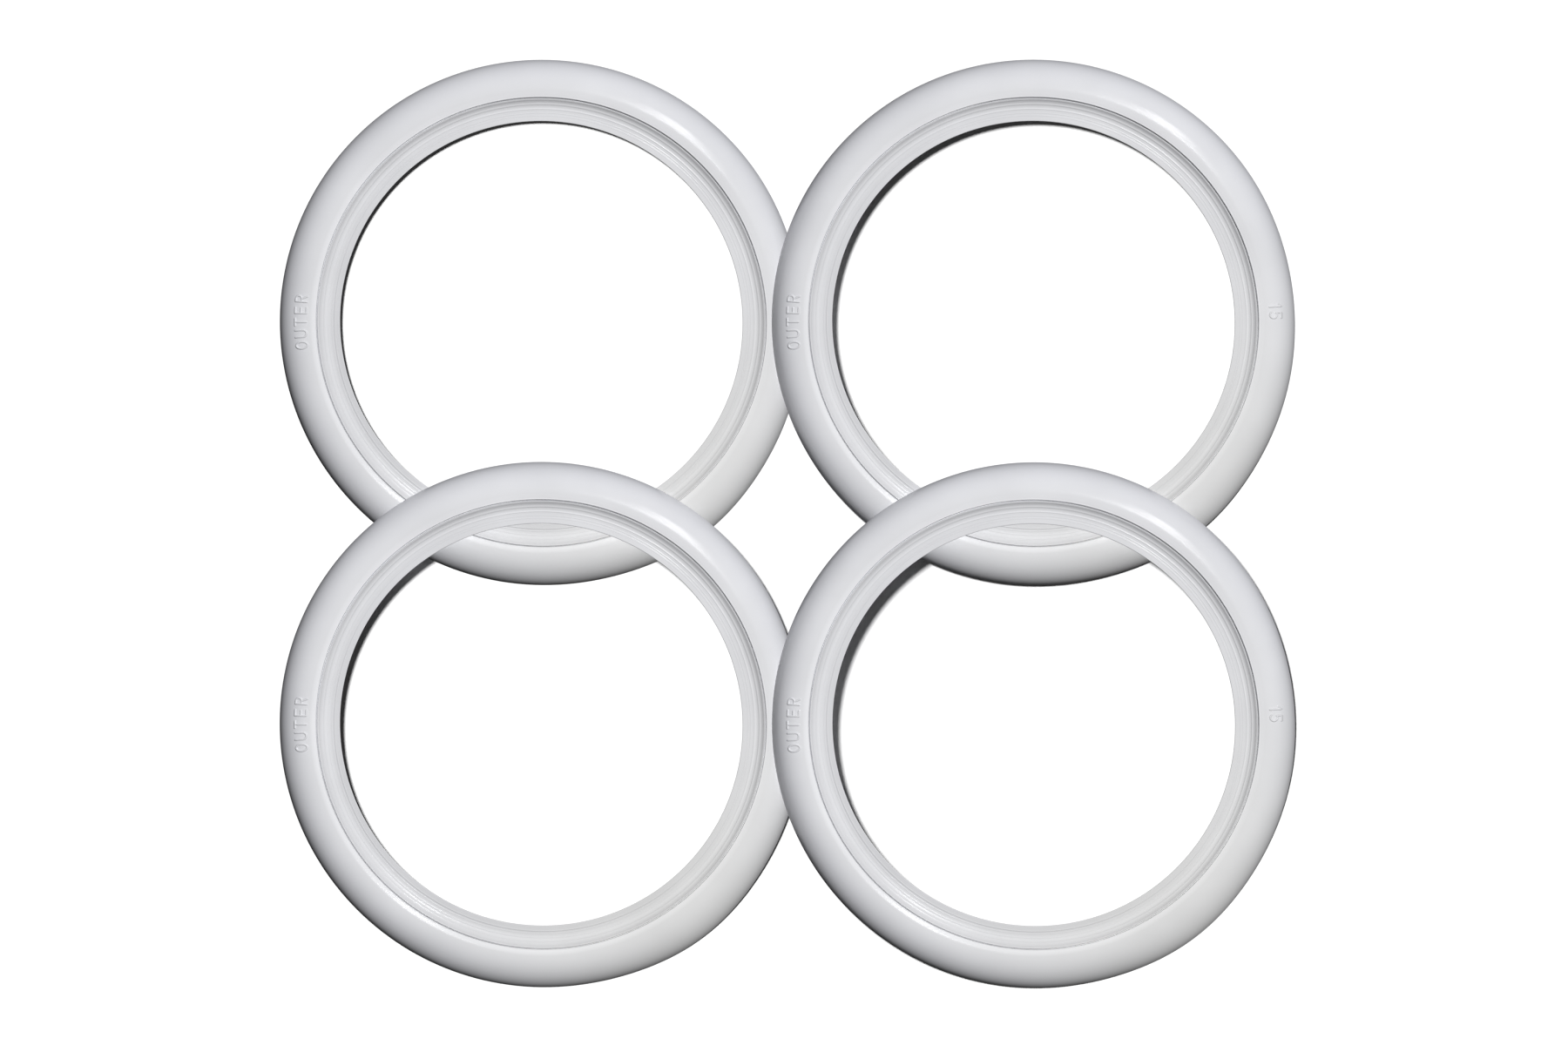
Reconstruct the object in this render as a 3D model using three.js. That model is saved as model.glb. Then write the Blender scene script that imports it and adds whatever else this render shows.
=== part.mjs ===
// A set of four rubber trim rings (whitewalls) for 15-inch road wheels, laid out on a flat
// surface in two rows of two, each ring resting partly on its neighbours.
// Every ring is one moulding: a thin fluted lip, which the tyre bead clamps against the wheel
// rim, and a hollow rounded band, which covers the shoulder of the tyre's side wall.
// Millimetres, +Z up, +X to the right and +Y away from the reader.

import * as THREE from 'three';

// Driving dimensions of one ring. Its heights are measured up from the edge of its skirt.
const holeRadius = 190.5; // half the bead seat diameter of a 15-inch rim
const stepRadius = 212.4; // where the lip ends and the band begins
const crownRadius = 219.4; // the highest circle of the band
const depth = 24; // skirt edge to crown
const shoulderRadius = 30.5; // rounding of the band from its crown down to the skirt
const innerCrownRadius = 15; // rounding of the band from its crown in towards the step
const innerCrownAngle = 19; // how far that rounding goes, in degrees
const stepDepth = 2; // from the band's inner edge down to the end of the lip
const grooveWidth = 0.8; // the groove between the lip and the band
const grooveDepth = 0.5;
const bandEdgeChamfer = 1;
const crownWall = 3.5; // wall thicknesses
const skirtWall = 2;
const lipWall = 2.3;
const dishRadius = 16.5; // hollow rounding of the lip where it climbs to the step
const dishAngle = 46; // how far that rounding goes, in degrees
const dishBackAngle = 36; // the same on the back of the lip
const fluteCount = 4; // shallow concentric flutes on the front of the lip, with ridges between
const flutePitch = 4.35;
const fluteDepth = 0.35;
const borderRadius = 195.4; // outside of the plain border round the hole
const borderHeight = 0.55; // the border stands this far above the first flute
const borderRise = 0.35; // and rises this much more towards the hole
const firstFluteRadius = 196.85;

// Driving dimensions of the layout
const columnPitch = 465;
const rowPitch = 380;
const restGap = 0.45; // clearance where one ring rests on another

// Fineness of the rounded surfaces
const ringSegments = 60;
const shoulderSteps = 6;
const hollowSteps = 4;
const dishBackSteps = 2;

// Worked out from the driving dimensions
const radians = THREE.MathUtils.degToRad;
const shoulderCentreZ = depth - shoulderRadius;
const skirtRadius = crownRadius + Math.sqrt(shoulderRadius ** 2 - shoulderCentreZ ** 2);
const bandEdgeRadius = crownRadius - innerCrownRadius * Math.sin(radians(innerCrownAngle));
const bandEdgeZ = depth - innerCrownRadius * (1 - Math.cos(radians(innerCrownAngle)));
const lipEndZ = bandEdgeZ - stepDepth;
const dishCentreRadius = stepRadius - dishRadius * Math.sin(radians(dishAngle));
const dishCentreZ = lipEndZ + dishRadius * Math.cos(radians(dishAngle));
const lipZ = dishCentreZ - dishRadius;

const at = (radius, z) => new THREE.Vector2(radius, z);

// The band's outside, from the skirt edge up to the crown
function shoulder() {
  const skirtAngle = Math.asin(-shoulderCentreZ / shoulderRadius);
  const points = [];
  for (let i = 0; i <= shoulderSteps; i += 1) {
    const angle = THREE.MathUtils.lerp(skirtAngle, Math.PI / 2, i / shoulderSteps);
    points.push(at(
      crownRadius + shoulderRadius * Math.cos(angle),
      shoulderCentreZ + shoulderRadius * Math.sin(angle),
    ));
  }
  return points;
}

// The front of the lip without its flutes: flat round the hole, then climbing along the dish
function dishHeight(radius) {
  const climb = Math.max(0, radius - dishCentreRadius);
  return dishCentreZ - Math.sqrt(dishRadius ** 2 - climb ** 2);
}

// The front of the lip, from its end at the step in to the hole. The outermost flute is narrower.
function lipFront() {
  const points = [at(stepRadius, lipEndZ)];
  let outerRidge = stepRadius;
  for (let flute = fluteCount - 1; flute >= 0; flute -= 1) {
    const ridge = firstFluteRadius + flute * flutePitch;
    const middle = (ridge + outerRidge) / 2;
    points.push(at(middle, dishHeight(middle) - fluteDepth), at(ridge, dishHeight(ridge)));
    outerRidge = ridge;
  }
  points.push(
    at(borderRadius, lipZ + borderHeight),
    at(holeRadius, lipZ + borderHeight + borderRise),
  );
  return points;
}

// The back of the lip: flat round the hole, where the tyre bead presses, then along the dish
function lipBack() {
  const points = [at(holeRadius, lipZ - lipWall)];
  for (let i = 0; i <= dishBackSteps; i += 1) {
    const angle = radians((dishBackAngle * i) / dishBackSteps);
    points.push(at(
      dishCentreRadius + (dishRadius + lipWall) * Math.sin(angle),
      dishCentreZ - (dishRadius + lipWall) * Math.cos(angle),
    ));
  }
  return points;
}

// The hollow behind the band, from under the crown out to the skirt edge
function hollow() {
  const skirtAngle = Math.asin(-shoulderCentreZ / (shoulderRadius - skirtWall));
  const points = [];
  for (let i = 0; i <= hollowSteps; i += 1) {
    const angle = THREE.MathUtils.lerp(Math.PI / 2, skirtAngle, i / hollowSteps);
    const wall = THREE.MathUtils.lerp(crownWall, skirtWall, i / hollowSteps);
    points.push(at(
      crownRadius + (shoulderRadius - wall) * Math.cos(angle),
      shoulderCentreZ + (shoulderRadius - wall) * Math.sin(angle),
    ));
  }
  return points;
}

// One ring about its own axis, +Z out of its front, with its skirt edge at zero height
function ringGeometry() {
  const outline = [
    ...shoulder(),
    at(bandEdgeRadius, bandEdgeZ),
    at(stepRadius + grooveWidth, bandEdgeZ - bandEdgeChamfer),
    at(stepRadius + grooveWidth, lipEndZ - grooveDepth),
    ...lipFront(),
    ...lipBack(),
    ...hollow(),
  ];
  const geometry = new THREE.LatheGeometry([...outline, outline[0]], ringSegments);
  geometry.rotateX(Math.PI / 2);
  return geometry;
}

// How a ring lies: the plane of its skirt edge climbs by slope for each millimetre in the
// direction uphill, and meets the floor at the lowest point of the skirt.
function lie(centre, slope, uphill) {
  return { centre, slope, uphill };
}

// The height of the lying ring's crown circle at a place on the floor
function crownHeight(lying, place) {
  const run = skirtRadius + lying.uphill.dot(place.clone().sub(lying.centre));
  return lying.slope * run + depth * Math.hypot(1, lying.slope);
}

// The two places where the skirt of a ring about centre crosses the crown of the ring below,
// with the heights to rest at there
function crossings(below, centre) {
  const along = centre.clone().sub(below.centre);
  const distance = along.length();
  along.normalize();
  const across = new THREE.Vector2(-along.y, along.x);
  const run = (crownRadius ** 2 - skirtRadius ** 2 + distance ** 2) / (2 * distance);
  const offset = Math.sqrt(crownRadius ** 2 - run ** 2);
  return [offset, -offset].map((side) => {
    const place = below.centre.clone().addScaledVector(along, run).addScaledVector(across, side);
    return { place, height: crownHeight(below, place) + restGap };
  });
}

// A ring that leans on two such places and touches the floor at one point of its skirt
function leanOn(centre, [first, second]) {
  const toFirst = first.place.clone().sub(centre);
  const toSecond = second.place.clone().sub(centre);
  const balance = toFirst.clone().multiplyScalar(second.height)
    .addScaledVector(toSecond, -first.height);
  const turn = Math.acos((skirtRadius * (first.height - second.height)) / balance.length());
  const uphill = [turn, -turn]
    .map((angle) => balance.clone().normalize().rotateAround(new THREE.Vector2(), angle))
    .find((direction) => direction.dot(toFirst) + direction.dot(toSecond) > 0);
  const slope = first.height / (skirtRadius + uphill.dot(toFirst));
  return lie(centre, slope, uphill);
}

// The crossing farther from the top left ring, whose centre is the origin of the layout
function farther([first, second]) {
  return first.place.length() > second.place.length() ? first : second;
}

// The top left ring lies flat. The top right and bottom left rings lean on it, and the bottom
// right ring leans on both of those, at the outer crossing with each.
const topLeft = lie(new THREE.Vector2(0, 0), 0, new THREE.Vector2(1, 0));
const topRightCentre = new THREE.Vector2(columnPitch, 0);
const topRight = leanOn(topRightCentre, crossings(topLeft, topRightCentre));
const bottomLeftCentre = new THREE.Vector2(0, -rowPitch);
const bottomLeft = leanOn(bottomLeftCentre, crossings(topLeft, bottomLeftCentre));
const bottomRightCentre = new THREE.Vector2(columnPitch, -rowPitch);
const bottomRight = leanOn(bottomRightCentre, [
  farther(crossings(bottomLeft, bottomRightCentre)),
  farther(crossings(topRight, bottomRightCentre)),
]);

function ring(name, lying) {
  const rubber = new THREE.MeshStandardMaterial({ color: '#dcdddf', roughness: 0.42, metalness: 0 });
  const mesh = new THREE.Mesh(ringGeometry(), rubber);
  mesh.name = name;
  const { centre, slope, uphill } = lying;
  const axis = new THREE.Vector3(-slope * uphill.x, -slope * uphill.y, 1).normalize();
  mesh.quaternion.setFromUnitVectors(new THREE.Vector3(0, 0, 1), axis);
  mesh.position.set(centre.x, centre.y, slope * skirtRadius);
  return mesh;
}

const rings = new THREE.Group();
rings.add(
  ring('ring_top_left', topLeft),
  ring('ring_top_right', topRight),
  ring('ring_bottom_left', bottomLeft),
  ring('ring_bottom_right', bottomRight),
);

// The origin is on the floor, under the middle of the whole layout
const box = new THREE.Box3().setFromObject(rings, true);
const middle = box.getCenter(new THREE.Vector3());
rings.position.set(-middle.x, -middle.y, -box.min.z);

const set = new THREE.Group();
set.add(rings);

export default set;
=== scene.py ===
"""Looks of the set of four white rubber trim rings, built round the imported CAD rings.

Every ring is one fine mesh made from its cross section, with the flutes of the lip, the bead
at the inner edge of the band and the raised marks in the surface itself. It is made once, about
its own axis in millimetres, and then laid where each CAD ring lies. Bearings are in degrees,
clockwise from the top of the picture.
"""

import math

import bpy
import numpy as np
from mathutils import Matrix, Vector


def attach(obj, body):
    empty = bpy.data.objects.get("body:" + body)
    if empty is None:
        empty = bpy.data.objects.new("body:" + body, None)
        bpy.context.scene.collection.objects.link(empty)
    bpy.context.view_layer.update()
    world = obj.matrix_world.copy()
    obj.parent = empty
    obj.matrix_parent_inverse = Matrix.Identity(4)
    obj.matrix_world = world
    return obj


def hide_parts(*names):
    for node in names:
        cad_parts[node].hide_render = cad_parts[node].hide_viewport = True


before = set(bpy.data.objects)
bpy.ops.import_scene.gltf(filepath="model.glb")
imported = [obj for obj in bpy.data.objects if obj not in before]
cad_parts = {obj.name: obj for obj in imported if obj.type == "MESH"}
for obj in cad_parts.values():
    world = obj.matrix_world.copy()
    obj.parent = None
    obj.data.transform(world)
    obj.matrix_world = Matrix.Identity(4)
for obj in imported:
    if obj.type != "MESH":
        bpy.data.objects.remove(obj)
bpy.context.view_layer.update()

MM = 0.001
RINGS = ("top_left", "top_right", "bottom_left", "bottom_right")

# Cross section of a ring in millimetres, as the CAD has it. Heights start at the skirt edge.
HOLE_RADIUS = 190.5
STEP_RADIUS = 212.4
CROWN_RADIUS = 219.4
DEPTH = 24.0
SHOULDER_RADIUS = 30.5
INNER_CROWN_RADIUS = 15.0
CROWN_WALL = 3.5
SKIRT_WALL = 2.0
LIP_WALL = 2.3
LIP_END_Z = 21.18  # rounded
DISH_RADIUS = 16.5
DISH_ANGLE = 46.0
DISH_BACK_ANGLE = 36.0

# Front of the lip, which follows the photograph more closely than the CAD does
FRONT_DISH_RADIUS = 14.0
LAST_SLOPE = 41.0  # beyond the last ridge, in degrees
BORDER_EDGE = 195.7
BORDER_HEIGHT = 0.4
BORDER_RISE = 0.85
FLUTE_EDGES = (196.9, 201.9, 206.4, 210.7, STEP_RADIUS)
FLUTE_DEPTH = 0.16
INNER_RIDGE_WIDTH = 0.36
RIDGES = (  # radius, height, and width on the side of the band
    (BORDER_EDGE, 0.17, 0.45),
    (198.2, 0.16, 0.5),
    (201.9, 0.2, 0.8),
    (206.4, 0.26, 1.3),
    (210.7, 0.18, 1.3),
)

# The groove at the step, the bead beside it, and the eased edges
GROOVE_EDGES = (212.0, 213.15)
GROOVE_TOP = 0.6  # height of its sides above the end of the lip
GROOVE_DEPTH = 2.2  # of its bottom below the end of the lip
BEAD_RADIUS = 213.95
BEAD_HEIGHT = 0.2
BEAD_WIDTH = 0.4
EDGE_ROUND = 0.7
LIP_BEVEL = (0.15, 0.2)  # across and down, at the groove
SKIRT_INNER_BEVEL = 0.3
SKIRT_OUTER_BEVEL = (0.35, 0.4)  # across and up

# The rubber is a little out of round, and the edge of its skirt is wavy
OVALS = (  # size, number of crests, bearing of one
    (0.63, 2, 132.0),
    (0.14, 3, 35.0),
)
WAVES = (  # size, bearing, width in degrees
    (3.2, 143.0, 12.0),
    (-1.7, 82.0, 16.0),
    (-1.4, 285.0, 45.0),
)

# Raised marks on the band
MARK_HEIGHT = 10.7
MARK_WIDTH = 0.6  # of a character, as a part of its height
MARK_RELIEF = 0.95
STROKE_HALF_WIDTH = 0.7
STROKE_SIDE = 0.6  # width of the sloping side of a stroke
WORD = "OUTER"
WORD_BEARING = 270.0
WORD_RADIUS = 228.0
WORD_PITCH = 11.0
SIZE = "15"
SIZE_BEARING = 87.3
SIZE_RADIUS = 229.4
SIZE_PITCH = 8.2

# Painted light and shade on the rubber, as a factor on its white: painted shade over the lip, a
# painted highlight at the inner edge of the band, and a painted bluish cast of the light
# Painted shade: the lip is made darker near the hole and near the groove, standing in for shade there
LIP_PAINTED_SHADE = ((198.0, 203.0, 204.0, 207.0), (0.92, 0.99, 0.99, 0.94))  # radii, and the factors there
# Painted highlight: the inner edge of the band is made paler, standing in for a broad gloss highlight
# there
BAND_PAINTED_HIGHLIGHT = ((CROWN_RADIUS - 4.0, CROWN_RADIUS), (1.1, 1.0))
# Painted bluish cast of the light: every side but the one towards NEUTRAL_BEARING is made bluer, more
# so out on the slope of the band
PAINTED_COOL_LIGHT = np.array([-0.005, 0, 0.03])  # added to red, green and blue where it is bluish
NEUTRAL_BEARING = 140.0
NEUTRAL_WIDTH = 35.0
MATT_FADE = 0.5  # width over which the matt border round the hole begins

# The rubber's own material
WHITES = (0.66, 0.70)  # darkest and palest of its mottling
MOTTLE_SCALE = 14.0
ROUGHNESS = (0.15, 0.18)
ROUGHNESS_SCALE = 60.0
MATT_ROUGHNESS = 0.35  # more on the border
GRAIN_SCALE = 900.0
GRAIN_DEPTH = 0.2  # in millimetres
GRAIN_STRENGTH = 0.12

# Lights: tilts, half sizes and bearings in degrees, distances in metres
LIGHT_DISTANCE = 20.0
LIGHT_BEARING = 34.0
KEY_IRRADIANCE = 3.52
KEY_TILT = 20.5
KEY_HALF_SIZE = 4.0
KEY_FOLLOW = 0.5  # the part of a ring's lean that the light follows
GLINT_RADIANCE = 18.0
GLINT_TILT = 24.0
GLINT_HALF_WIDTH = 2.2
GLINT_HALF_LENGTH = 12.0
GLINT_FOLLOW = 1.0
FLOOR_LIGHT = 3.6
FLOOR_LIGHT_TILT = 11.0
FLOOR_LIGHT_BEARING = 315.0
FLOOR_LIGHT_SOFTNESS = 6.0

# Stage and camera, in metres except for the sensor
FLOOR_HALF = 80.0
FLOOR_DROP = 0.0006
CAMERA_HEIGHT = 40.0
CAMERA_ASIDE = -0.0027
VIEW_WIDTH = 1.4845  # width of the picture at VIEW_HEIGHT
VIEW_HEIGHT = 0.03
SENSOR_WIDTH = 36.0  # in millimetres

SHOULDER_Z = DEPTH - SHOULDER_RADIUS
SKIRT_RADIUS = CROWN_RADIUS + math.sqrt(SHOULDER_RADIUS**2 - SHOULDER_Z**2)
DISH_CENTRE_R = STEP_RADIUS - DISH_RADIUS * math.sin(math.radians(DISH_ANGLE))
DISH_CENTRE_Z = LIP_END_Z + DISH_RADIUS * math.cos(math.radians(DISH_ANGLE))
LIP_Z = DISH_CENTRE_Z - DISH_RADIUS


# ---------------------------------------------------------------- formulas


def smooth(t):
    """From 0 to 1 with soft ends, as t goes from 0 to 1."""
    t = np.clip(t, 0, 1)
    return t * t * (3 - 2 * t)


def hump(distance, width):
    """A rounded hump 1 high, which has fallen to about a third at its width."""
    return np.exp(-((distance / width) ** 2))


def near(bearing, middle, width):
    """1 at the middle bearing, fading to 0 over about twice the width, all round the circle."""
    away = (bearing - middle + 180) % 360 - 180
    return np.exp(-0.5 * (away / width) ** 2)


# ---------------------------------------------------------------- cross section


def arc(centre_r, centre_z, radius, start, end, count):
    """Points of an arc from one angle to another, in degrees, without its last point."""
    angle = np.radians(np.linspace(start, end, count, endpoint=False))
    return np.column_stack([centre_r + radius * np.cos(angle), centre_z + radius * np.sin(angle)])


def dish_height(r):
    """Front of the lip without its flutes: flat, then a hollow rounding, then a straight slope."""
    last_ridge = FLUTE_EDGES[-2]
    climb = np.clip(r - DISH_CENTRE_R, 0, last_ridge - DISH_CENTRE_R)
    beyond = np.maximum(0, r - last_ridge) * math.tan(math.radians(LAST_SLOPE))
    return LIP_Z + FRONT_DISH_RADIUS - np.sqrt(FRONT_DISH_RADIUS**2 - climb**2) + beyond


def shoulder():
    """Outside of the band from the skirt edge to the crown, finer where the marks stand."""
    start = math.degrees(math.asin(-SHOULDER_Z / SHOULDER_RADIUS)) + 1.5  # past the bevel
    marks_start, marks_end, crown = 58, 86, 90  # in degrees up from the skirt's side
    lower = arc(CROWN_RADIUS, SHOULDER_Z, SHOULDER_RADIUS, start, marks_start, 14)
    marked = arc(CROWN_RADIUS, SHOULDER_Z, SHOULDER_RADIUS, marks_start, marks_end, 46)
    upper = arc(CROWN_RADIUS, SHOULDER_Z, SHOULDER_RADIUS, marks_end, crown, 2)
    return np.vstack([lower, marked, upper])


def groove():
    """The V groove between the band and the lip, from its outer edge in."""
    inner, outer = GROOVE_EDGES
    top_z = LIP_END_Z + GROOVE_TOP
    bottom_z = LIP_END_Z - GROOVE_DEPTH
    # 0 at the outer edge, 1 at the bottom, and 2 would be the inner edge, where the lip begins
    t = np.array([0, 0.3, 0.6, 0.95, 1.05, 1.4, 1.7])
    r = outer - (outer - inner) / 2 * t
    z = top_z - (top_z - bottom_z) * (1 - abs(1 - t))
    return np.column_stack([r, z])


def band_edge():
    """From the crown in over the bead, and down its rounded side into the groove."""
    bead_foot = BEAD_RADIUS + 1.3
    r = np.concatenate([
        np.linspace(CROWN_RADIUS, bead_foot, 8, endpoint=False),
        np.linspace(bead_foot, BEAD_RADIUS, 8),
    ])
    z = DEPTH - INNER_CROWN_RADIUS + np.sqrt(INNER_CROWN_RADIUS**2 - (CROWN_RADIUS - r) ** 2)
    z = z + BEAD_HEIGHT * hump(r - BEAD_RADIUS, BEAD_WIDTH)
    side = arc(BEAD_RADIUS, z[-1] - EDGE_ROUND, EDGE_ROUND, 90, 180, 7)[1:]
    return np.vstack([np.column_stack([r, z]), side, groove()])


def lip_front():
    """Front of the lip from the groove in to the hole: the dish with its shallow flutes, the fine
    ridges between them, and the plain border, which rises towards the hole."""
    edge = GROOVE_EDGES[0]
    across, down = LIP_BEVEL
    r = np.linspace(edge - across, HOLE_RADIUS + EDGE_ROUND, 84)
    z = dish_height(r)
    for inner, outer in zip(FLUTE_EDGES[:-1], FLUTE_EDGES[1:]):
        t = np.clip((r - inner) / (outer - inner), 0, 1)
        z = z - FLUTE_DEPTH * 4 * t * (1 - t)
    for ridge, height, outer_width in RIDGES:
        width = np.where(r < ridge, INNER_RIDGE_WIDTH, outer_width)
        z = z + height * hump(r - ridge, width)
    z = z + BORDER_HEIGHT * smooth((FLUTE_EDGES[0] - r) / (FLUTE_EDGES[0] - BORDER_EDGE))
    z = z + BORDER_RISE * np.clip((BORDER_EDGE - r) / (BORDER_EDGE - HOLE_RADIUS), 0, 1)
    return np.vstack([[[edge, z[0] - down]], np.column_stack([r, z])])


def hole_edge(top_z):
    """The rounded edge of the hole, from the front of the lip round to its back."""
    back_z = LIP_Z - LIP_WALL
    centre_r = HOLE_RADIUS + EDGE_ROUND
    top = arc(centre_r, top_z - EDGE_ROUND, EDGE_ROUND, 90, 180, 5)[1:]
    bottom = arc(centre_r, back_z + EDGE_ROUND, EDGE_ROUND, 180, 270, 5)
    return np.vstack([top, bottom])


def lip_back():
    """Back of the lip: flat round the hole, then along the dish."""
    flat_r = np.linspace(HOLE_RADIUS + EDGE_ROUND, DISH_CENTRE_R, 4, endpoint=False)
    flat = np.column_stack([flat_r, np.full(flat_r.shape, LIP_Z - LIP_WALL)])
    dish = arc(DISH_CENTRE_R, DISH_CENTRE_Z, DISH_RADIUS + LIP_WALL, -90, DISH_BACK_ANGLE - 90, 7)
    return np.vstack([flat, dish])


def hollow():
    """The hollow behind the band, from under the crown out to the inner bevel of the skirt."""
    end = math.degrees(math.asin(-SHOULDER_Z / (SHOULDER_RADIUS - SKIRT_WALL)))
    t = np.linspace(0, 1, 12)
    angle = np.radians(90 + (end - 90) * t)
    radius = SHOULDER_RADIUS - CROWN_WALL + (CROWN_WALL - SKIRT_WALL) * t
    r = CROWN_RADIUS + radius * np.cos(angle)
    z = SHOULDER_Z + radius * np.sin(angle)
    z[-1] = SKIRT_INNER_BEVEL
    return np.column_stack([r, z])


def skirt_edge():
    """The narrow flat on which the skirt stands, and its outer bevel."""
    across, up = SKIRT_OUTER_BEVEL
    flat_start = SKIRT_RADIUS - SKIRT_WALL + SKIRT_INNER_BEVEL
    return [[flat_start, 0], [SKIRT_RADIUS - across, 0], [SKIRT_RADIUS, up]]


def section():
    """The closed outline of a ring, as radius and height."""
    front = lip_front()
    back = [lip_back(), hollow(), skirt_edge()]
    return np.vstack([shoulder(), band_edge(), front, hole_edge(front[-1, 1]), *back])


def outward(outline):
    """Unit directions square to the outline, out of the rubber."""
    after = np.roll(outline, -1, axis=0) - outline
    before = outline - np.roll(outline, 1, axis=0)
    tangent = after / np.linalg.norm(after, axis=1)[:, None]
    tangent = tangent + before / np.linalg.norm(before, axis=1)[:, None]
    tangent = tangent / np.linalg.norm(tangent, axis=1)[:, None]
    return tangent[:, 1], -tangent[:, 0]


def painted_shading(r, bearing):
    """Painted light and shade on the rubber: painted shade that makes the lip a little darker, a
    painted highlight that makes the inner edge of the band paler, and a painted bluish cast of the
    light except towards the lower right, strongest out on the slope of the band."""
    shade_and_highlight = np.where(r < STEP_RADIUS, np.interp(r, *LIP_PAINTED_SHADE), np.interp(r, *BAND_PAINTED_HIGHLIGHT))
    limb = np.clip((r - CROWN_RADIUS) / (SKIRT_RADIUS - CROWN_RADIUS), 0, 1)
    cool_light_cast = (1 - near(bearing, NEUTRAL_BEARING, NEUTRAL_WIDTH)) * (1 + limb)
    return shade_and_highlight[..., None] * (1 + PAINTED_COOL_LIGHT * cool_light_cast[..., None])


def matt(r):
    """Where the rubber is matt: the plain border round the hole."""
    return np.clip((BORDER_EDGE - r) / MATT_FADE, 0, 1)


# ---------------------------------------------------------------- raised marks


def curve(centre_x, centre_y, half_x, half_y, start, end, count=10):
    """A stroke along part of an ellipse, angles in degrees from the right."""
    angle = np.radians(np.linspace(start, end, count))
    return [(centre_x + half_x * math.cos(a), centre_y + half_y * math.sin(a)) for a in angle]


def strokes(letter):
    """Pen strokes of a character in a cell one unit high and about MARK_WIDTH wide."""
    if letter == "O":
        return [curve(0.3, 0.5, 0.3, 0.5, 0, 360, 24)]
    if letter == "U":
        return [[(0, 1)] + curve(0.3, 0.3, 0.3, 0.3, 180, 360) + [(0.6, 1)]]
    if letter == "T":
        return [[(0, 1), (0.6, 1)], [(0.3, 1), (0.3, 0)]]
    if letter == "E":
        return [[(0.55, 1), (0.05, 1), (0.05, 0), (0.55, 0)], [(0.05, 0.5), (0.5, 0.5)]]
    if letter == "R":
        bowl = [(0.05, 0), (0.05, 1)] + curve(0.3, 0.74, 0.26, 0.26, 90, -90) + [(0.05, 0.48)]
        return [bowl, [(0.3, 0.48), (0.56, 0)]]
    if letter == "1":
        return [[(0.12, 0.8), (0.32, 1), (0.32, 0)]]
    if letter == "5":
        bowl = curve(0.27, 0.32, 0.31, 0.32, 118, -140, 16)
        return [[(0.55, 1), (0.12, 1), (0.08, 0.55)] + bowl]
    raise ValueError(letter)


def distance_to(u, v, start, end):
    """How far places u, v are from a straight piece of a stroke."""
    along = end - start
    t = ((u - start[0]) * along[0] + (v - start[1]) * along[1]) / (along @ along)
    t = np.clip(t, 0, 1)
    return np.hypot(u - start[0] - t * along[0], v - start[1] - t * along[1])


def relief(u, v, text, pitch):
    """Height of the raised text at places u along and v across its line, in millimetres."""
    distance = np.full(u.shape, np.inf)
    for place, letter in enumerate(text):
        left = (place - (len(text) - 1) / 2) * pitch - MARK_WIDTH / 2 * MARK_HEIGHT
        for stroke in strokes(letter):
            pen = np.array(stroke) * MARK_HEIGHT + [left, -MARK_HEIGHT / 2]
            for start, end in zip(pen[:-1], pen[1:]):
                distance = np.minimum(distance, distance_to(u, v, start, end))
    return MARK_RELIEF * smooth((STROKE_HALF_WIDTH + STROKE_SIDE / 2 - distance) / STROKE_SIDE)


def marks(r, bearing):
    """Height of the raised word and of the size number over the plain band, in millimetres."""
    raised = np.zeros(r.shape)
    for text, middle, radius, pitch in (
        (WORD, WORD_BEARING, WORD_RADIUS, WORD_PITCH),
        (SIZE, SIZE_BEARING, SIZE_RADIUS, SIZE_PITCH),
    ):
        along = np.radians((bearing - middle + 180) % 360 - 180) * radius + 0 * r
        raised = np.maximum(raised, relief(along, r - radius, text, pitch))
    return raised


# ---------------------------------------------------------------- the ring


def bearings():
    """Bearings of the ring's cross sections, close together where the marks are."""
    fine, coarse = 0.08, 1.8
    word_half, size_half = 7.4, 3.0
    stops = [
        (SIZE_BEARING - size_half, SIZE_BEARING + size_half, fine),
        (SIZE_BEARING + size_half, WORD_BEARING - word_half, coarse),
        (WORD_BEARING - word_half, WORD_BEARING + word_half, fine),
        (WORD_BEARING + word_half, 360 + SIZE_BEARING - size_half, coarse),
    ]
    return np.concatenate([
        np.linspace(a, b, round((b - a) / step), endpoint=False) for a, b, step in stops
    ])


def unevenness(r, bearing):
    """How much farther out the rubber is than a true ring would be, in millimetres."""
    oval = sum(size * np.cos(crests * np.radians(bearing - crest)) for size, crests, crest in OVALS)
    wave = sum(size * near(bearing, middle, width) for size, middle, width in WAVES)
    flare = np.clip((r - CROWN_RADIUS) / (SKIRT_RADIUS - CROWN_RADIUS), 0, 1)
    return oval + flare**2 * wave


def ring_surface(outline, bearing):
    """Radius and height of every point of the ring: a row for each point of its outline, a column
    for each bearing."""
    out_r, out_z = outward(outline)
    r = outline[:, 0][:, None] + 0 * bearing
    z = outline[:, 1][:, None] + 0 * bearing
    outside = np.arange(len(outline))[:, None] < len(shoulder())
    raised = marks(r, bearing) * outside
    r = r + out_r[:, None] * raised
    z = z + out_z[:, None] * raised
    return r + unevenness(r, bearing), z


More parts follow.
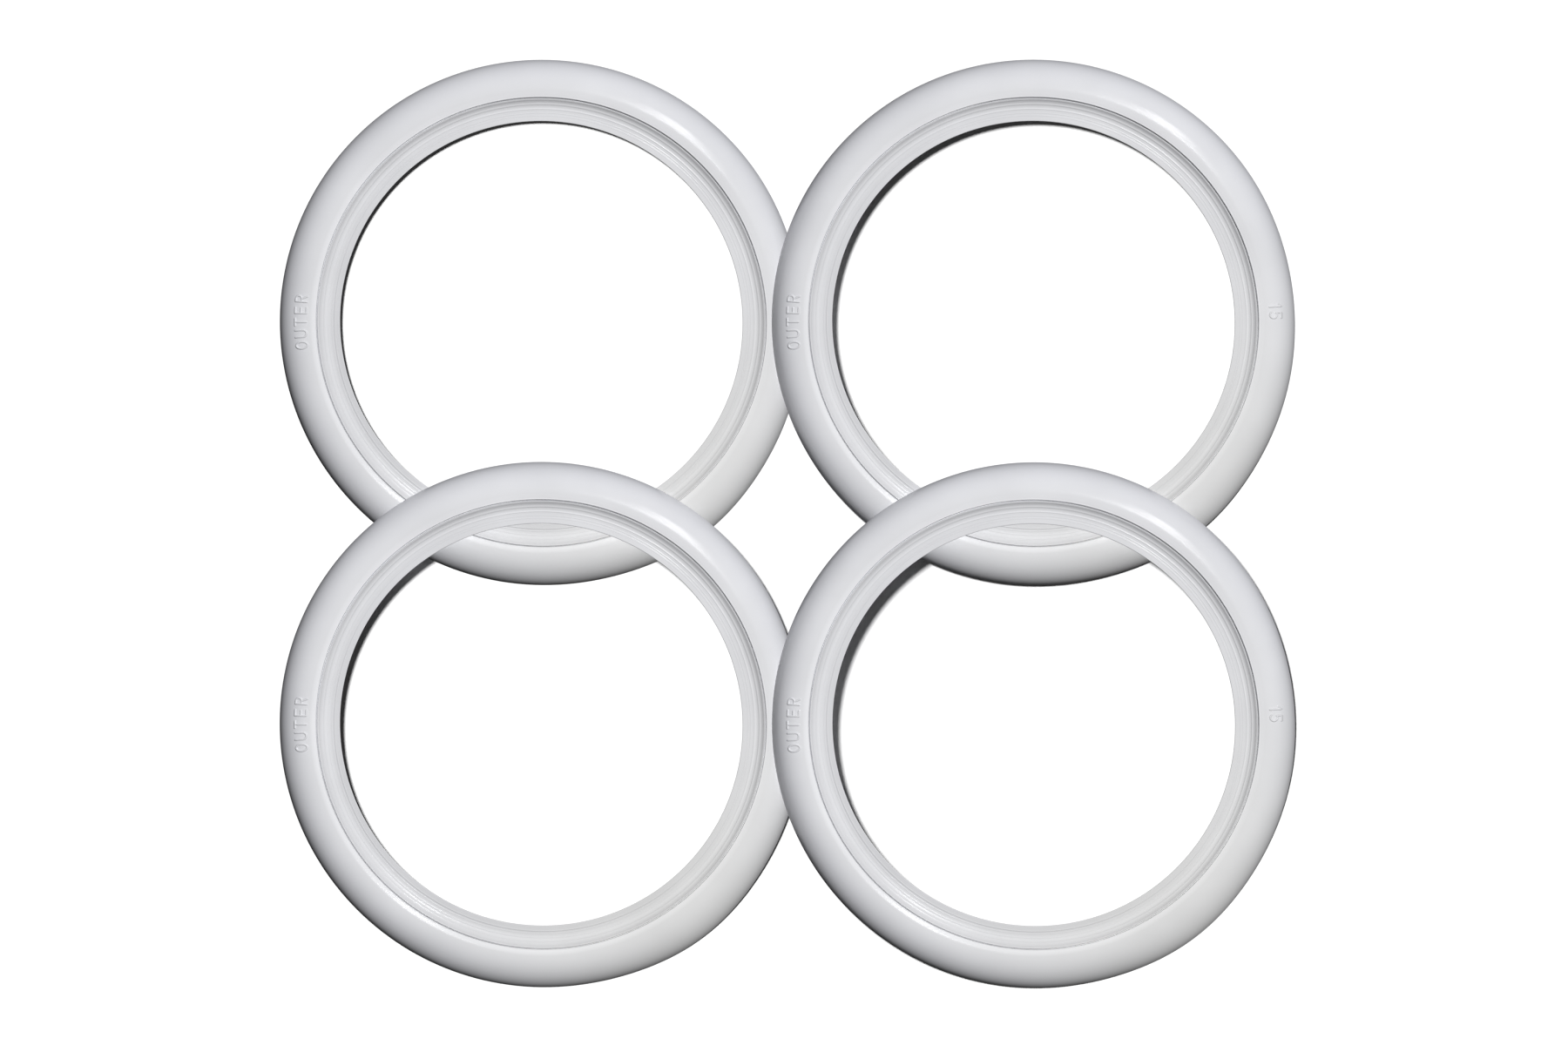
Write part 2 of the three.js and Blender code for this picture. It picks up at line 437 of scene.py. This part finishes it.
def ring_mesh():
    """One ring about its own axis, in metres, with its painted light and shade and its matt parts as
    attributes.
    """
    outline = section()
    bearing = bearings()[None, :]
    r, z = ring_surface(outline, bearing)
    turn = np.radians(bearing)
    points = np.stack([r * np.sin(turn), r * np.cos(turn), z], axis=-1).reshape(-1, 3) * MM

    rows, columns = r.shape
    index = np.arange(rows * columns).reshape(rows, columns)
    down = np.roll(index, -1, axis=0)
    quads = np.stack([index, down, np.roll(down, -1, axis=1), np.roll(index, -1, axis=1)], axis=-1)

    mesh = bpy.data.meshes.new("trim_ring")
    mesh.from_pydata(points.tolist(), [], quads.reshape(-1, 4).tolist())
    mesh.polygons.foreach_set("use_smooth", np.ones(len(mesh.polygons), bool))
    # The painted light and shade, stored on every point
    shading_attribute = mesh.attributes.new("painted_shading", "FLOAT_VECTOR", "POINT")
    shading_attribute.data.foreach_set("vector", painted_shading(outline[:, 0][:, None], bearing).ravel())
    dull = mesh.attributes.new("matt", "FLOAT", "POINT")
    dull.data.foreach_set("value", np.repeat(matt(outline[:, 0]), columns))
    mesh.update()
    return mesh


def lying(node):
    """Where a CAD ring lies: the matrix from the ring's own frame to the frame of the whole set.

    A leaning ring is sheared up its slope instead of turned. The soft rubber follows the slope, and
    from straight above every ring looks like the flat one, as in the photograph. Its middle is that
    of the CAD ring at about the height of the step."""
    corners = np.array([v.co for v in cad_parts[node].data.vertices])
    middle = corners.mean(0)
    axis = np.linalg.svd(corners - middle, full_matrices=False)[2][2]
    axis = axis / axis[2]
    slope = -axis[:2]
    skirt = (corners[:, 2] - corners[:, :2] @ slope).min()
    centre = middle + axis * (LIP_END_Z * MM + skirt - middle[2] + slope @ middle[:2])
    return Matrix((
        (1, 0, 0, centre[0]),
        (0, 1, 0, centre[1]),
        (slope[0], slope[1], 1, skirt + slope @ centre[:2]),
        (0, 0, 0, 1),
    ))


# ---------------------------------------------------------------- materials


def noise(tree, scale, detail):
    """A noise pattern that is fixed to the piece."""
    place = tree.nodes.new("ShaderNodeTexCoord")
    texture = tree.nodes.new("ShaderNodeTexNoise")
    texture.inputs["Scale"].default_value = scale
    texture.inputs["Detail"].default_value = detail
    tree.links.new(place.outputs["Object"], texture.inputs["Vector"])
    return texture.outputs["Fac"]


def attribute(tree, name, output):
    stored = tree.nodes.new("ShaderNodeAttribute")
    stored.attribute_name = name
    return stored.outputs[output]


def white_with_painted_shading(tree):
    """The faintly mottled white of the rubber, times its painted light and shade."""
    mottle = tree.nodes.new("ShaderNodeValToRGB")
    for element, position, grey in zip(mottle.color_ramp.elements, (0.3, 0.7), WHITES):
        element.position = position
        element.color = (grey, grey, grey, 1)
    tree.links.new(noise(tree, MOTTLE_SCALE, 3.0), mottle.inputs["Fac"])
    shaded_white = tree.nodes.new("ShaderNodeVectorMath")
    shaded_white.operation = "MULTIPLY"
    tree.links.new(mottle.outputs["Color"], shaded_white.inputs[0])
    tree.links.new(attribute(tree, "painted_shading", "Vector"), shaded_white.inputs[1])
    return shaded_white.outputs["Vector"]


def uneven_gloss(tree):
    """Roughness that varies a little, and is higher on the matt border."""
    gloss = tree.nodes.new("ShaderNodeMapRange")
    gloss.inputs["To Min"].default_value, gloss.inputs["To Max"].default_value = ROUGHNESS
    tree.links.new(noise(tree, ROUGHNESS_SCALE, 4.0), gloss.inputs["Value"])
    rough = tree.nodes.new("ShaderNodeMath")
    rough.operation = "MULTIPLY_ADD"
    rough.inputs[1].default_value = MATT_ROUGHNESS
    tree.links.new(attribute(tree, "matt", "Fac"), rough.inputs[0])
    tree.links.new(gloss.outputs["Result"], rough.inputs[2])
    return rough.outputs["Value"]


def moulded_grain(tree):
    grain = tree.nodes.new("ShaderNodeBump")
    grain.inputs["Strength"].default_value = GRAIN_STRENGTH
    grain.inputs["Distance"].default_value = GRAIN_DEPTH * MM
    tree.links.new(noise(tree, GRAIN_SCALE, 2.0), grain.inputs["Height"])
    return grain.outputs["Normal"]


def white_rubber():
    """Smooth moulded white rubber: satin gloss, faintly mottled, with a fine moulded grain."""
    material = bpy.data.materials.new("white_rubber")
    material.use_nodes = True
    tree = material.node_tree
    shader = tree.nodes["Principled BSDF"]
    shader.inputs["Specular IOR Level"].default_value = 0.3
    tree.links.new(white_with_painted_shading(tree), shader.inputs["Base Color"])
    tree.links.new(uneven_gloss(tree), shader.inputs["Roughness"])
    tree.links.new(moulded_grain(tree), shader.inputs["Normal"])
    return material


def pale_floor():
    """The matt white floor of the stage."""
    material = bpy.data.materials.new("pale_floor")
    material.use_nodes = True
    shader = material.node_tree.nodes["Principled BSDF"]
    shader.inputs["Base Color"].default_value = (0.96, 0.96, 0.96, 1)
    shader.inputs["Roughness"].default_value = 0.9
    shader.inputs["Specular IOR Level"].default_value = 0.1
    return material


# ---------------------------------------------------------------- stage, light and camera


def link(data, name):
    thing = bpy.data.objects.new(name, data)
    bpy.context.scene.collection.objects.link(thing)
    return thing


def floor():
    """The floor, a little below the rings, which lights the rings neither by itself nor as a mirror
    image."""
    half = FLOOR_HALF
    mesh = bpy.data.meshes.new("floor")
    corners = [(-half, -half, 0), (half, -half, 0), (half, half, 0), (-half, half, 0)]
    mesh.from_pydata(corners, [], [(0, 1, 2, 3)])
    mesh.materials.append(pale_floor())
    thing = link(mesh, "floor")
    thing.location.z = -FLOOR_DROP
    thing.visible_diffuse = False
    thing.visible_glossy = False
    return thing


def direction(tilt, bearing):
    """The direction that is tilt degrees off the vertical, towards a bearing."""
    lean, turn = math.radians(tilt), math.radians(bearing)
    return Vector((math.sin(lean) * math.sin(turn), math.sin(lean) * math.cos(turn), math.cos(lean)))


def light_only(thing, receiver):
    """The light falls on this object and no other. Gives back the collection that says so."""
    lit = bpy.data.collections.new(thing.name + "_receiver")
    lit.objects.link(receiver)
    thing.light_linking.receiver_collection = lit
    return lit


def soft_box(name, piece, lie, tilt, half_width, half_length, follow):
    """A soft box far off, whose middle the camera sees mirrored where the ring tilts by half of its
    tilt. Its length lies along the tilt. Each ring has its own, which only that ring blocks and which
    follows a part of that ring's lean: in the photograph all four are lit alike."""
    data = bpy.data.lights.new(name + "_" + piece.name, "AREA")
    data.shape = "RECTANGLE"
    data.size = 2 * LIGHT_DISTANCE * math.tan(math.radians(half_width))
    data.size_y = 2 * LIGHT_DISTANCE * math.tan(math.radians(half_length))
    thing = link(data, data.name)
    lean = Vector((-follow * lie[2][0], -follow * lie[2][1], 1))
    turn = Vector((0, 0, 1)).rotation_difference(lean)

    def mirrored(seen):
        """Where the camera's line of sight goes from a surface that tilts by half of this."""
        halfway = turn @ direction(seen / 2, LIGHT_BEARING)
        return 2 * halfway.z * halfway - Vector((0, 0, 1))

    towards = mirrored(tilt)
    along = mirrored(tilt + 1) - mirrored(tilt - 1)
    across = along.cross(towards).normalized()
    turned = Matrix((across, towards.cross(across), towards)).transposed()
    place = lie.translation + towards * LIGHT_DISTANCE
    thing.matrix_world = Matrix.Translation(place) @ turned.to_4x4()
    thing.visible_camera = False
    thing.light_linking.blocker_collection = light_only(thing, piece)
    return thing


def ring_lights(piece, lie):
    """The even light of a large soft box, and the long narrow glint of a strip lamp."""
    key = soft_box("key", piece, lie, KEY_TILT, KEY_HALF_SIZE, KEY_HALF_SIZE, KEY_FOLLOW)
    key.data.energy = KEY_IRRADIANCE * math.pi * LIGHT_DISTANCE**2
    key.visible_glossy = False
    size = (GLINT_HALF_WIDTH, GLINT_HALF_LENGTH)
    glint = soft_box("glint", piece, lie, GLINT_TILT, *size, GLINT_FOLLOW)
    glint.data.energy = GLINT_RADIANCE * math.pi * glint.data.size * glint.data.size_y
    glint.visible_diffuse = False


def floor_light(ground):
    """A distant lamp that lights the floor alone, where the rings cast their soft shadows."""
    data = bpy.data.lights.new("floor_light", "SUN")
    data.energy = FLOOR_LIGHT
    data.angle = math.radians(FLOOR_LIGHT_SOFTNESS)
    thing = link(data, data.name)
    thing.rotation_mode = "QUATERNION"
    towards = direction(FLOOR_LIGHT_TILT, FLOOR_LIGHT_BEARING)
    thing.rotation_quaternion = towards.to_track_quat("Z", "Y")
    light_only(thing, ground)


def surroundings(ambient, seen):
    """Even light from all round; the camera sees the pale backdrop instead."""
    world = bpy.data.worlds.new("surroundings")
    bpy.context.scene.world = world
    world.use_nodes = True
    nodes, links = world.node_tree.nodes, world.node_tree.links
    nodes["Background"].inputs["Color"].default_value = (ambient, ambient, ambient, 1)
    backdrop = nodes.new("ShaderNodeBackground")
    backdrop.inputs["Color"].default_value = (seen, seen, seen, 1)
    path = nodes.new("ShaderNodeLightPath")
    mix = nodes.new("ShaderNodeMixShader")
    links.new(path.outputs["Is Camera Ray"], mix.inputs["Fac"])
    links.new(nodes["Background"].outputs["Background"], mix.inputs[1])
    links.new(backdrop.outputs["Background"], mix.inputs[2])
    links.new(mix.outputs["Shader"], nodes["World Output"].inputs["Surface"])


def camera():
    """Straight above the layout, far away with a long lens, as each ring is seen straight on."""
    data = bpy.data.cameras.new("camera")
    data.sensor_width = SENSOR_WIDTH
    data.lens = SENSOR_WIDTH * (CAMERA_HEIGHT - VIEW_HEIGHT) / VIEW_WIDTH
    data.clip_end = 5 * CAMERA_HEIGHT
    thing = link(data, "camera")
    thing.location = (CAMERA_ASIDE, 0, CAMERA_HEIGHT)
    bpy.context.scene.camera = thing


# ---------------------------------------------------------------- putting it together

rubber = white_rubber()
model = ring_mesh()
model.materials.append(rubber)
for name in RINGS:
    lie = lying("ring_" + name)
    mesh = model.copy()
    mesh.transform(lie)
    piece = link(mesh, "trim_ring_" + name)
    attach(piece, name)
    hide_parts("ring_" + name)
    ring_lights(piece, lie)
bpy.data.meshes.remove(model)

floor_light(floor())
surroundings(ambient=0.03, seen=1.0)
camera()
bpy.context.scene.view_settings.view_transform = "Standard"
